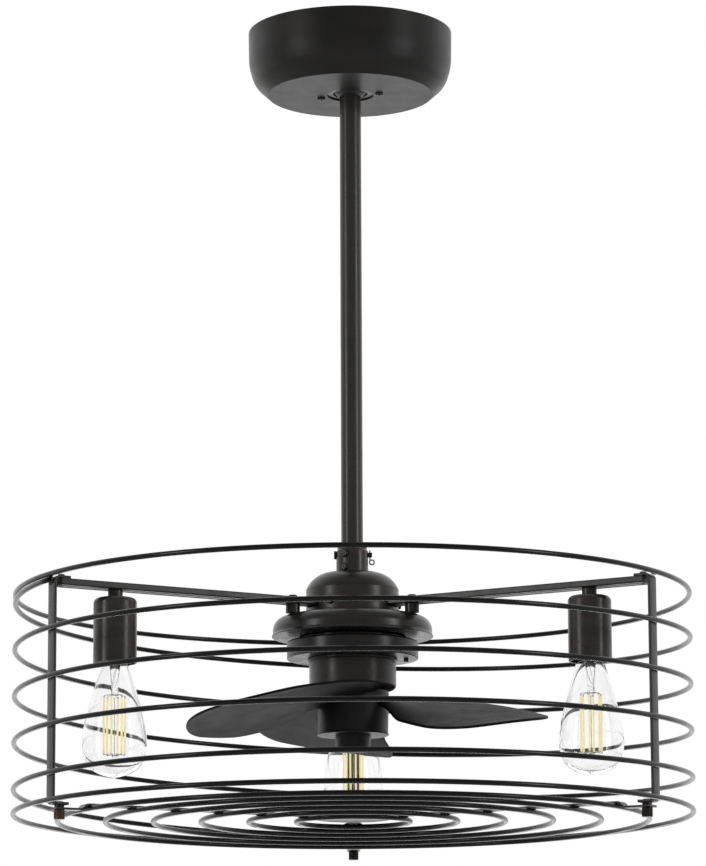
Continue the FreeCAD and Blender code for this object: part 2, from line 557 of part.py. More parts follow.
def half_chord(r):
    ks = BLADE_HALF_CHORD
    for (r0, c0), (r1, c1) in zip(ks, ks[1:]):
        if r <= r1:
            u = max(0.0, (r - r0) / (r1 - r0))
            u = u * u * (3 - 2 * u) * 0.5 + u * 0.5
            return c0 + (c1 - c0) * u
    return ks[-1][1]


def along(coeffs, s):
    return coeffs[0] + coeffs[1] * s + coeffs[2] * s * s


def blade_height(r, az):
    """Height of the blade's mid surface: a twisted, slightly drooping helicoid."""
    s = (r - BLADE_ROOT_R) / BLADE_SPAN
    mid = BLADE_AZ + BLADE_SWEEP[0] * s + BLADE_SWEEP[1] * s * s
    arc = math.radians(az - mid) * r
    return along(BLADE_Z, s) + arc * math.tan(math.radians(along(BLADE_PITCH, s)))


def blade_outline():
    lead, trail = [], []
    stations = [BLADE_ROOT_R - 6.0, 45.0, 60.0, 80.0, 100.0, 120.0, 138.0]
    stations += [BLADE_ROUND_R + (BLADE_TIP_R - BLADE_ROUND_R) * math.sin(math.radians(a)) for a in (0, 20, 38, 54, 68, 79, 86)]
    for r in stations:
        s = (r - BLADE_ROOT_R) / BLADE_SPAN
        k = 1.0
        if r > BLADE_ROUND_R:
            k = math.sqrt(max(0.0, 1 - ((r - BLADE_ROUND_R) / (BLADE_TIP_R - BLADE_ROUND_R)) ** 2))
        mid = BLADE_AZ + BLADE_SWEEP[0] * s + BLADE_SWEEP[1] * s * s + BLADE_TIP_SKEW * (1 - k)
        h = math.degrees(half_chord(r) * k / r)
        lead.append((r, mid + h))
        trail.append((r, mid - h))
    s = (BLADE_TIP_R - BLADE_ROOT_R) / BLADE_SPAN
    tip = (BLADE_TIP_R, BLADE_AZ + BLADE_SWEEP[0] * s + BLADE_SWEEP[1] * s * s + BLADE_TIP_SKEW)
    return lead + [tip] + trail[::-1]


# thick twisted sheet that runs past the outline on every side
rows_top, rows_low = [], []
r_list = [24.0 + (198.0 - 24.0) * i / 12.0 for i in range(13)]
for r in r_list:
    s = (r - BLADE_ROOT_R) / BLADE_SPAN
    mid = BLADE_AZ + BLADE_SWEEP[0] * s + BLADE_SWEEP[1] * s * s - 8.0
    span = math.degrees((half_chord(r) + 34.0) / max(r, 40.0))
    top, low = [], []
    for j in range(11):
        az = mid + span * (j / 5.0 - 1.0)
        z = blade_height(max(r, 30.0), az)
        top.append(at(az, r, z + BLADE_T / 2))
        low.append(at(az, r, z - BLADE_T / 2))
    rows_top.append(top)
    rows_low.append(low)


def sheet_face(rows):
    surf = Part.BSplineSurface()
    surf.interpolate(rows)
    return surf.toShape()


def side_face(a, b):
    ca, cb = Part.BSplineCurve(), Part.BSplineCurve()
    ca.interpolate(a)
    cb.interpolate(b)
    return Part.makeRuledSurface(ca.toShape(), cb.toShape())


f_top, f_low = sheet_face(rows_top), sheet_face(rows_low)


def boundary(face):
    return face.OuterWire.Edges


sides = []
for e in f_top.Edges:
    best = min(f_low.Edges, key=lambda g: (g.CenterOfMass - e.CenterOfMass).Length)
    sides.append(Part.makeRuledSurface(e, best))
shell = Part.makeShell([f_top, f_low] + sides)
shell.sewShape()
sheet = Part.makeSolid(shell)
if sheet.Volume < 0:
    sheet.reverse()

outline_pts = [at(az, r, 0) for r, az in blade_outline()]
edge_curve = Part.BSplineCurve()
edge_curve.interpolate(outline_pts)
outline_wire = Part.Wire([edge_curve.toShape(), Part.LineSegment(outline_pts[-1], outline_pts[0]).toShape()])
prism = moved(Part.Face(outline_wire).extrude(V(0, 0, 140)), 0, 0, -760)
blade = sheet.common(prism)
blade = blade.cut(cyl(HUB_R + 0.02, -800, -600))
blade = blade.common(cyl(BLADE_TIP_R + 8, -800, CAN_BOTTOM - 0.8))
solids = sorted(blade.Solids, key=lambda s: -s.Volume)
print("blade pieces", [round(s.Volume) for s in solids])
blade = solids[0]
for k in range(3):
    save("blade_%d" % (k + 1), turned(blade, 120.0 * k))

# ---------------------------------------------------------------- switch knob
knob = box(SWITCH_AT - 2.25, SWITCH_AT + 2.25, -3.2, 3.2, PLATE2_BOTTOM - 2.6, PLATE2_BOTTOM + 2.9)
knob = knob.makeFillet(0.5, [e for e in knob.Edges if e.CenterOfMass.z < PLATE2_BOTTOM - 2.5])
save("switch_knob", knob)
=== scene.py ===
import json
import math
import random

import bmesh
import bpy
from mathutils import Matrix, Vector


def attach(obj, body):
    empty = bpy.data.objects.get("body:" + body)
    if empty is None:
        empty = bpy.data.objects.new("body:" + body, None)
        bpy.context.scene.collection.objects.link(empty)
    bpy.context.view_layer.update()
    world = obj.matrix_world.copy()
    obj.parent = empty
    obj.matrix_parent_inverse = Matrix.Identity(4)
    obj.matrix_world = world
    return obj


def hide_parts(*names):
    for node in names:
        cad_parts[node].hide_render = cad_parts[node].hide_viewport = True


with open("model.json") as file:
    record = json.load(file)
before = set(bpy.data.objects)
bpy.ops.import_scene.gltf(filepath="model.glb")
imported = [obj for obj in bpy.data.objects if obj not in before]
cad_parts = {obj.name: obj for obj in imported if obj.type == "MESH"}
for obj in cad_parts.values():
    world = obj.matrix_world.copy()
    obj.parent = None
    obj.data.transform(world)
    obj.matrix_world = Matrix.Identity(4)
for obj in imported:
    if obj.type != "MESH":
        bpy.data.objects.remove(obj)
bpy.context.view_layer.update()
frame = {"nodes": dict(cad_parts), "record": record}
scene = bpy.context.scene
rng = random.Random(7)
MM = 0.001

# Ceiling fan with a caged light kit. Metres, +Z up, origin in the ceiling plane, front is -Y.
# ---------------------------------------------------------------- dimensions, in mm as in the CAD
WIRE_R = 2.5
CAGE_R = 327.5
TOP_RING_Z = -570.0
BOTTOM_RING_Z = -781.4
COIL_Z = (-575.3, -776.2)
COIL_AZ = 210.0
COIL_TURNS = 13.0 / 3.0
COIL_LEAN = math.tan(math.radians(1.05))
SPOKES = {"left": 210.0, "right": 330.0, "back": 90.0}
GRILLE_RADII = (285.0, 239.0, 193.0, 147.0, 101.0, 55.0)
GRILLE_Z = -787.8
SPOKE_W, SPOKE_T, SPOKE_TOP = 14.0, 2.0, -783.25
TAB_TOP, JOGGLE_IN, JOGGLE_OUT, TAB_END = -788.0, 287.8, 293.5, 321.0
CENTRE_R = 38.0
STRAP_RO, STRAP_T, STRAP_W = 324.9, 3.0, 14.0
STRAP_TOP, FOOT_TOP, FOOT_T, FOOT_LEN = -571.0, -783.3, 2.0, 17.0
STUD_AT, STUD_R = 314.5, 2.5
NUT_BOTTOM = -799.0
SOCKET_AT = 258.0
BULB_TIP = -758.0
GLASS_T = 0.9
GLASS = ((12.0, -640.5), (13.2, -650.0), (16.2, -662.0), (21.0, -678.0), (26.2, -697.0), (29.6, -714.0),
         (30.5, -726.0), (29.0, -738.0), (24.0, -747.5), (15.5, -753.6), (7.0, -756.4), (2.6, -757.4))
LAMP_BASE_TOP, LAMP_BASE_LOW = -608.6, -640.0
# the visible blades have a plain round tip; the CAD blades end in a thin hook on one side
BLADE_T = 2.6
BLADE_ROOT_R, BLADE_TIP_R, BLADE_ROUND_R, BLADE_SPAN = 34.0, 190.5, 150.0, 160.0
BLADE_AZ = 253.8
BLADE_SWEEP = (-72.8, 42.7)
BLADE_HALF_CHORD = ((34.0, 36.0), (75.0, 68.5), (115.0, 75.4), (155.0, 74.4), (200.0, 74.4))
BLADE_Z = (-668.5, -44.2, 17.6)
BLADE_PITCH = (12.1, 17.8, -22.0)
BLADE_TIP_SKEW = 6.0
BLADE_TOP_LIMIT = -660.85


# ---------------------------------------------------------------- mesh helpers
def polar(az, r, z=0.0):
    a = math.radians(az)
    return Vector((r * math.cos(a), r * math.sin(a), z))


def make(name, verts, faces, sharp=38.0):
    """Mesh object from points in mm, smooth shaded but for edges sharper than the angle."""
    mesh = bpy.data.meshes.new(name)
    mesh.from_pydata([tuple(Vector(v) * MM) for v in verts], [], faces)
    bm = bmesh.new()
    bm.from_mesh(mesh)
    bmesh.ops.recalc_face_normals(bm, faces=bm.faces)
    bm.to_mesh(mesh)
    bm.free()
    mesh.shade_smooth()
    if sharp:
        mesh.set_sharp_from_angle(angle=math.radians(sharp))
    obj = bpy.data.objects.new(name, mesh)
    scene.collection.objects.link(obj)
    return obj


class Build:
    """Gathers several closed shells into one mesh."""

    def __init__(self):
        self.verts, self.faces = [], []

    def add(self, verts, faces):
        n = len(self.verts)
        self.verts += [Vector(v) for v in verts]
        self.faces += [tuple(i + n for i in f) for f in faces]

    def tube(self, path, radius, sides=14, closed=False, up=Vector((0, 0, 1)), dome=True):
        """Round wire along a path, with slightly domed cut ends."""
        n = len(path)
        verts, faces = [], []
        radii = radius if isinstance(radius, (list, tuple)) else [radius] * n
        tangents = []
        for i, p in enumerate(path):
            a = path[i - 1] if i or closed else p
            b = path[(i + 1) % n] if i < n - 1 or closed else p
            t = (b - a).normalized()
            tangents.append(t)
            side = t.cross(up).normalized()
            lift = side.cross(t).normalized()
            for k in range(sides):
                a = 2 * math.pi * k / sides
                verts.append(p + (side * math.cos(a) + lift * math.sin(a)) * radii[i])
        for i in range(n if closed else n - 1):
            for k in range(sides):
                a, b = i * sides + k, i * sides + (k + 1) % sides
                c, d = ((i + 1) % n) * sides + (k + 1) % sides, ((i + 1) % n) * sides + k
                faces.append((a, b, c, d))
        if not closed:
            ends = ((0, path[0], tangents[0], -1), (n - 1, path[-1], tangents[-1], 1))
            for ring, centre, t, sign in ends:
                base = ring * sides
                inner = len(verts)
                out = radii[ring] * (0.28 if dome else 0.0)
                for k in range(sides):
                    verts.append(centre + (verts[base + k] - centre) * 0.72 + t * sign * out * 0.7)
                tip = len(verts)
                verts.append(centre + t * sign * out)
                for k in range(sides):
                    j = (k + 1) % sides
                    faces.append((base + k, base + j, inner + j, inner + k))
                    faces.append((inner + k, inner + j, tip))
        self.add(verts, faces)

    def lathe(self, outline, sides=64, centre=(0, 0, 0), direction=None, ripple=None):
        """Closed solid of revolution. The outline is (r, z) points; r = 0 ends become single points."""
        verts, faces, rings = [], [], []
        for r, z in outline:
            if r < 1e-6:
                rings.append([len(verts)])
                verts.append(Vector((0, 0, z)))
                continue
            ring = []
            for k in range(sides):
                a = 2 * math.pi * k / sides
                rr = r + (ripple(a, z, r) if ripple else 0.0)
                ring.append(len(verts))
                verts.append(Vector((rr * math.cos(a), rr * math.sin(a), z)))
            rings.append(ring)
        hollow = outline[0][0] > 1e-6
        for a, b in zip(rings, rings[1:] + ([rings[0]] if hollow else [])):
            for k in range(sides):
                j = (k + 1) % sides
                if len(a) == 1 and len(b) == 1:
                    break
                if len(a) == 1:
                    faces.append((a[0], b[k], b[j]))
                elif len(b) == 1:
                    faces.append((a[k], a[j], b[0]))
                else:
                    faces.append((a[k], a[j], b[j], b[k]))
        turn = Vector((0, 0, 1)).rotation_difference(Vector(direction)) if direction else None
        centre = Vector(centre)
        self.add([(turn @ v if turn else v) + centre for v in verts], faces)

    def bar(self, path, sections, width_dir):
        """Flat bar: one closed cross-section (points in thickness, width) swept along a path."""
        n, m = len(path), len(sections)
        verts, faces = [], []
        for i, p in enumerate(path):
            a, b = path[max(0, i - 1)], path[min(n - 1, i + 1)]
            t = (b - a).normalized()
            thick = t.cross(width_dir).normalized()
            back = (path[i] - path[i - 1]).normalized() if i else t
            ahead = (path[i + 1] - path[i]).normalized() if i < n - 1 else t
            widen = 1.0 / max(0.5, math.cos(back.angle(ahead) / 2)) if back.length and ahead.length else 1.0
            for x, y in sections:
                verts.append(p + thick * x * widen + width_dir * y)
        for i in range(n - 1):
            for k in range(m):
                j = (k + 1) % m
                faces.append((i * m + k, i * m + j, (i + 1) * m + j, (i + 1) * m + k))
        faces.append(tuple(range(m)))
        faces.append(tuple((n - 1) * m + k for k in range(m)))
        self.add(verts, faces)

    def done(self, name, sharp=38.0):
        return make(name, self.verts, self.faces, sharp)


def rounded_rect(thick, width, radius, steps=4):
    """Corner-rounded rectangle as (thickness, width) points."""
    out = []
    for cx, cy, a0 in ((1, 1, 0), (-1, 1, 90), (-1, -1, 180), (1, -1, 270)):
        for k in range(steps + 1):
            a = math.radians(a0 + 90.0 * k / steps)
            out.append((cx * (thick / 2 - radius) + radius * math.cos(a),
                        cy * (width / 2 - radius) + radius * math.sin(a)))
    return out


def round_outline(points, steps=5):
    """Outline for a lathe. A third number on a point is its corner radius."""
    out = []
    n = len(points)
    for i, p in enumerate(points):
        radius = p[2] if len(p) > 2 else 0.0
        here = Vector((p[0], p[1]))
        if radius <= 0 or i in (0, n - 1):
            out.append((p[0], p[1]))
            continue
        a = (Vector(points[i - 1][:2]) - here).normalized()
        b = (Vector(points[i + 1][:2]) - here).normalized()
        half = a.angle(b) / 2
        reach = radius / math.tan(half)
        centre = here + (a + b).normalized() * (radius / math.sin(half))
        start, end = here + a * reach - centre, here + b * reach - centre
        sweep = start.angle_signed(end)
        for k in range(steps + 1):
            turned = start.copy()
            turned.rotate(Matrix.Rotation(-sweep * k / steps, 2))
            out.append(tuple(centre + turned))
    return out


def smooth_line(points, steps=6):
    """Catmull-Rom curve through the points."""
    out = []
    n = len(points)
    pts = [Vector(p) for p in points]
    for i in range(n - 1):
        p0, p1, p2, p3 = pts[max(0, i - 1)], pts[i], pts[i + 1], pts[min(n - 1, i + 2)]
        for k in range(steps):
            t = k / steps
            out.append(0.5 * ((2 * p1) + (p2 - p0) * t + (2 * p0 - 5 * p1 + 4 * p2 - p3) * t * t
                              + (3 * p1 - p0 - 3 * p2 + p3) * t * t * t))
    out.append(pts[-1])
    return out


# ---------------------------------------------------------------- materials
def coat(name, dark, light, metallic=0.0, rough=(0.35, 0.5), patch=14.0, grain=900.0, bump=0.12,
         depth=0.00012, stretch=(1, 1, 1), rings=0.0, specular=0.5, speck=None):
    """Painted, moulded or turned surface: two-tone colour, uneven gloss and fine grain, with turning
    rings and a second fleck colour if asked."""
    mat = bpy.data.materials.new(name)
    mat.use_nodes = True
    nodes, links = mat.node_tree.nodes, mat.node_tree.links
    shader = nodes["Principled BSDF"]
    shader.inputs["Metallic"].default_value = metallic
    shader.inputs["Specular IOR Level"].default_value = specular
    where = nodes.new("ShaderNodeTexCoord")
    place = nodes.new("ShaderNodeMapping")
    place.inputs["Scale"].default_value = stretch
    links.new(where.outputs["Object"], place.inputs["Vector"])

    def noise(scale, detail, rough_):
        node = nodes.new("ShaderNodeTexNoise")
        node.inputs["Scale"].default_value = scale
        node.inputs["Detail"].default_value = detail
        node.inputs["Roughness"].default_value = rough_
        links.new(place.outputs["Vector"], node.inputs["Vector"])
        return node

    cloud = noise(patch, 5.0, 0.6)
    tone = nodes.new("ShaderNodeValToRGB")
    tone.color_ramp.elements[0].position = 0.32
    tone.color_ramp.elements[1].position = 0.70
    tone.color_ramp.elements[0].color = (*dark, 1)
    tone.color_ramp.elements[1].color = (*light, 1)
    links.new(cloud.outputs["Fac"], tone.inputs["Fac"])
    colour = tone.outputs["Color"]
    if speck:
        dots = noise(speck[1], 2.0, 0.5)
        cut = nodes.new("ShaderNodeValToRGB")
        cut.color_ramp.elements[0].position = 0.60
        cut.color_ramp.elements[1].position = 0.72
        links.new(dots.outputs["Fac"], cut.inputs["Fac"])
        blend = nodes.new("ShaderNodeMix")
        blend.data_type = "RGBA"
        links.new(cut.outputs["Color"], blend.inputs["Factor"])
        links.new(colour, blend.inputs["A"])
        blend.inputs["B"].default_value = (*speck[0], 1)
        colour = blend.outputs["Result"]
    links.new(colour, shader.inputs["Base Color"])
    gloss = noise(patch * 4.0, 3.0, 0.55)
    span = nodes.new("ShaderNodeMapRange")
    span.inputs["From Min"].default_value = 0.3
    span.inputs["From Max"].default_value = 0.7
    span.inputs["To Min"].default_value = rough[0]
    span.inputs["To Max"].default_value = rough[1]
    links.new(gloss.outputs["Fac"], span.inputs["Value"])
    links.new(span.outputs["Result"], shader.inputs["Roughness"])
    fine = noise(grain, 2.0, 0.5)
    height = fine.outputs["Fac"]
    if rings:
        split = nodes.new("ShaderNodeSeparateXYZ")
        links.new(where.outputs["Object"], split.inputs["Vector"])
        flat = nodes.new("ShaderNodeCombineXYZ")
        links.new(split.outputs["X"], flat.inputs["X"])
        links.new(split.outputs["Y"], flat.inputs["Y"])
        wave = nodes.new("ShaderNodeTexWave")
        wave.wave_type = "RINGS"
        wave.rings_direction = "SPHERICAL"
        wave.inputs["Scale"].default_value = rings
        wave.inputs["Distortion"].default_value = 0.4
        links.new(flat.outputs["Vector"], wave.inputs["Vector"])
        both = nodes.new("ShaderNodeMath")
        both.operation = "ADD"
        links.new(height, both.inputs[0])
        links.new(wave.outputs["Fac"], both.inputs[1])
        height = both.outputs["Value"]
    relief = nodes.new("ShaderNodeBump")
    relief.inputs["Strength"].default_value = bump
    relief.inputs["Distance"].default_value = depth
    links.new(height, relief.inputs["Height"])
    links.new(relief.outputs["Normal"], shader.inputs["Normal"])
    return mat


def clear_glass(name, tint, wave=60.0, strength=0.08):
    """Clear glass with a faint drawn waviness."""
    mat = bpy.data.materials.new(name)
    mat.use_nodes = True
    nodes, links = mat.node_tree.nodes, mat.node_tree.links
    shader = nodes["Principled BSDF"]
    shader.inputs["Transmission Weight"].default_value = 1.0
    shader.inputs["IOR"].default_value = 1.46
    where = nodes.new("ShaderNodeTexCoord")
    film = nodes.new("ShaderNodeTexNoise")
    film.inputs["Scale"].default_value = wave
    film.inputs["Detail"].default_value = 2.0
    links.new(where.outputs["Object"], film.inputs["Vector"])
    tone = nodes.new("ShaderNodeValToRGB")
    tone.color_ramp.elements[0].color = (*tint, 1)
    tone.color_ramp.elements[1].color = (1, 1, 1, 1)
    links.new(film.outputs["Fac"], tone.inputs["Fac"])
    links.new(tone.outputs["Color"], shader.inputs["Base Color"])
    span = nodes.new("ShaderNodeMapRange")
    span.inputs["To Min"].default_value = 0.0
    span.inputs["To Max"].default_value = 0.03
    links.new(film.outputs["Fac"], span.inputs["Value"])
    links.new(span.outputs["Result"], shader.inputs["Roughness"])
    relief = nodes.new("ShaderNodeBump")
    relief.inputs["Strength"].default_value = strength
    relief.inputs["Distance"].default_value = 0.0006
    links.new(film.outputs["Fac"], relief.inputs["Height"])
    links.new(relief.outputs["Normal"], shader.inputs["Normal"])
    return mat


bronze = coat("bronze_coat", (0.010, 0.0094, 0.0090), (0.019, 0.0166, 0.0148), rough=(0.27, 0.37),
              patch=16.0, grain=1400.0, bump=0.08)
bronze_turned = coat("bronze_turned", (0.021, 0.0178, 0.0162), (0.042, 0.0325, 0.0270),
                     rough=(0.26, 0.36), patch=20.0, grain=1200.0, bump=0.08, stretch=(1, 1, 2.5))
bronze_cast = coat("bronze_cast", (0.012, 0.0105, 0.0097), (0.023, 0.0192, 0.0168), rough=(0.24, 0.34),
                   patch=22.0, grain=700.0, bump=0.16, depth=0.00015)
bronze_rod = coat("bronze_rod", (0.025, 0.0222, 0.0205), (0.046, 0.0385, 0.0330), rough=(0.25, 0.36),
                  patch=30.0, grain=900.0, bump=0.08, stretch=(1, 1, 0.25))
bronze_bowl = coat("bronze_bowl", (0.013, 0.0122, 0.0117), (0.022, 0.0192, 0.0172), rough=(0.34, 0.44),
                   patch=12.0, grain=1400.0, bump=0.08, specular=0.26)
wire_coat = coat("wire_coat", (0.0022, 0.0020, 0.0019), (0.0055, 0.0048, 0.0044), rough=(0.16, 0.25),
                 patch=24.0, grain=1600.0, bump=0.03, specular=0.30)
blade_plastic = coat("blade_plastic", (0.0085, 0.0082, 0.0088), (0.0135, 0.0130, 0.0138),
                     rough=(0.46, 0.56), patch=9.0, grain=2200.0, bump=0.14, depth=0.0001,
                     specular=0.05)
hub_plastic = coat("hub_plastic", (0.0045, 0.0045, 0.0045), (0.0085, 0.0083, 0.0083),
                   rough=(0.34, 0.46), patch=30.0, grain=1800.0, bump=0.12, specular=0.4)
zinc = coat("zinc_steel", (0.42, 0.43, 0.44), (0.60, 0.61, 0.61), metallic=1.0, rough=(0.28, 0.46),
            patch=90.0, grain=600.0, bump=0.10, speck=((0.34, 0.35, 0.37), 260.0))
screw_coat = coat("screw_coat", (0.020, 0.019, 0.019), (0.060, 0.057, 0.055), metallic=0.85,
                  rough=(0.20, 0.34), patch=160.0, grain=900.0, bump=0.08)
nylon = coat("nylon", (0.012, 0.012, 0.012), (0.026, 0.025, 0.025), rough=(0.38, 0.5), patch=60.0,
             grain=900.0, bump=0.1)
abs_black = coat("abs_black", (0.010, 0.010, 0.010), (0.018, 0.018, 0.0185), rough=(0.36, 0.5),
                 patch=40.0, grain=1500.0, bump=0.14)
lamination = coat("lamination", (0.20, 0.20, 0.21), (0.34, 0.34, 0.35), metallic=0.9, rough=(0.4, 0.55),
                  patch=40.0, grain=700.0, bump=0.4, stretch=(1, 1, 12))
winding = coat("copper_winding", (0.36, 0.12, 0.05), (0.62, 0.24, 0.10), metallic=0.9,
               rough=(0.28, 0.4), patch=60.0, grain=1200.0, bump=0.5, stretch=(1, 1, 6), rings=180.0)
bearing_steel = coat("bearing_steel", (0.48, 0.48, 0.49), (0.62, 0.62, 0.63), metallic=1.0,
                     rough=(0.2, 0.3), patch=80.0, grain=900.0, bump=0.08, rings=160.0)
phenolic = coat("holder_phenolic", (0.016, 0.014, 0.012), (0.030, 0.026, 0.022), rough=(0.3, 0.44),
                patch=70.0, grain=1100.0, bump=0.16)
brass = coat("lamp_brass", (0.62, 0.47, 0.24), (0.80, 0.63, 0.36), metallic=1.0, rough=(0.22, 0.36),
             patch=70.0, grain=800.0, bump=0.08, stretch=(1, 1, 3))
knurled = coat("knurled_bronze", (0.020, 0.017, 0.015), (0.046, 0.036, 0.029), metallic=0.7,
               rough=(0.26, 0.4), patch=220.0, grain=1500.0, bump=0.12)
knurled_worn = coat("knurled_brown", (0.060, 0.034, 0.026), (0.130, 0.080, 0.062), metallic=0.7,
                    rough=(0.3, 0.44), patch=240.0, grain=1500.0, bump=0.14,
                    speck=((0.20, 0.14, 0.11), 700.0))
weld_metal = coat("weld_coat", (0.015, 0.014, 0.0135), (0.026, 0.024, 0.022), metallic=0.3,
                  rough=(0.34, 0.5), patch=300.0, grain=1800.0, bump=0.3, depth=0.0003)
phosphor = coat("led_phosphor", (0.90, 0.78, 0.36), (0.98, 0.90, 0.56), rough=(0.4, 0.55), patch=400.0,
                grain=2500.0, bump=0.2)
glow = phosphor.node_tree.nodes["Principled BSDF"]
glow.inputs["Emission Color"].default_value = (1.0, 0.88, 0.50, 1)
glow.inputs["Emission Strength"].default_value = 0.35
lead_wire = coat("lead_wire", (0.34, 0.33, 0.31), (0.52, 0.50, 0.47), metallic=1.0, rough=(0.22, 0.34),
                 patch=300.0, grain=1500.0, bump=0.05)
bulb_glass = clear_glass("bulb_glass", (0.97, 0.975, 0.97))
stem_glass = clear_glass("stem_glass", (0.93, 0.95, 0.95), wave=120.0, strength=0.15)

SLOT_MATERIALS = {"bronze": bronze, "black_screw": screw_coat, "zinc_steel": zinc,
                  "bearing_steel": bearing_steel, "blade_plastic": blade_plastic, "wire": wire_coat,
                  "lamp_brass": brass, "lamp_inner": lead_wire, "lamp_glass": bulb_glass,
                  "abs_black": abs_black, "holder_phenolic": phenolic, "nylon": nylon,
                  "lamination": lamination, "copper_winding": winding, "knurled": knurled}
NODE_MATERIALS = {"canopy": bronze_bowl, "hanger_bracket": screw_coat, "downrod": bronze_rod,
                  "yoke_coupling": bronze_turned, "motor_can": bronze_turned,
                  "motor_dome": bronze_cast, "upper_housing": bronze_turned, "upper_plate": bronze_cast,
                  "lower_plate": bronze_cast, "socket_cup_left": bronze_turned,
                  "socket_cup_right": bronze_turned,
                  "socket_cup_back": bronze_turned, "thumb_nut_left": knurled_worn, "blade_hub": hub_plastic,
                  "nose_cap": hub_plastic}


def paint(obj, mat):
    obj.data.materials.clear()
    obj.data.materials.append(mat)


for part in frame["record"]["subparts"]:
    node = part["node"]
    paint(frame["nodes"][node], NODE_MATERIALS.get(node, SLOT_MATERIALS[part["material_slot"]]))


def piece(obj, body, mat, slot, *nodes):
    """Paint a new piece, let it ride on its body and take over CAD nodes."""
    paint(obj, mat)
    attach(obj, body)
    if nodes:
        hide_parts(*nodes)
    return obj


# ---------------------------------------------------------------- cage wires
def coil_point(t):
    start = polar(COIL_AZ, CAGE_R)
    end = polar(COIL_AZ - 360.0 * COIL_TURNS, CAGE_R)
    drop = COIL_Z[0] - COIL_Z[1] - COIL_LEAN * (end.x - start.x)
    p = polar(COIL_AZ - 360.0 * COIL_TURNS * t, CAGE_R)
    return Vector((p.x, p.y, COIL_Z[0] - drop * t - COIL_LEAN * (p.x - start.x)))


def circle(r, z, n):
    return [polar(360.0 * k / n, r, z) for k in range(n)]


STEPS_PER_TURN = 132
n_coil = int(COIL_TURNS * STEPS_PER_TURN)
coil = Build()
coil.tube([coil_point(k / n_coil) for k in range(n_coil + 1)], WIRE_R, sides=16)
piece(coil.done("coil_wire", 60), "hanging_frame", wire_coat, "wire", "cage_coil")
for name, z, node in (("top_hoop", TOP_RING_Z, "top_ring"), ("bottom_hoop", BOTTOM_RING_Z, "bottom_ring")):
    hoop = Build()
    hoop.tube(circle(CAGE_R, z, 200), WIRE_R, sides=16, closed=True)
    piece(hoop.done(name, 60), "hanging_frame", wire_coat, "wire", node)
wires = Build()
for r in GRILLE_RADII:
    wires.tube(circle(r, GRILLE_Z, max(72, int(r * 0.62))), WIRE_R, sides=16, closed=True)
piece(wires.done("grille_wires", 60), "grille", wire_coat, "wire", "grille_rings")


# ---------------------------------------------------------------- straps, feet, studs and welds
def bead(build, centre, length_dir, half, rise):
    """Small weld bead: a squashed, slightly lumpy ellipsoid."""
    side = length_dir.normalized()
    out = Vector((0, 0, 1)).cross(side).normalized()
    verts, faces = [], []
    rows, cols = 7, 12
    wobble = [1 + rng.uniform(-0.12, 0.12) for _ in range(rows)]
    verts.append(centre - side * half)
    for i in range(1, rows):
        a = math.pi * i / rows
        for k in range(cols):
            b = 2 * math.pi * k / cols
            w = wobble[i] * math.sin(a) * rise
            round_ = out * math.cos(b) + Vector((0, 0, 1)) * math.sin(b)
            verts.append(centre - side * half * math.cos(a) + round_ * w)
    verts.append(centre + side * half)
    for k in range(cols):
        j = (k + 1) % cols
        faces.append((0, 1 + j, 1 + k))
        for i in range(rows - 2):
            a = 1 + i * cols
            faces.append((a + k, a + j, a + cols + j, a + cols + k))
        last = 1 + (rows - 2) * cols
        faces.append((last + k, last + j, len(verts) - 1))
    build.add(verts, faces)


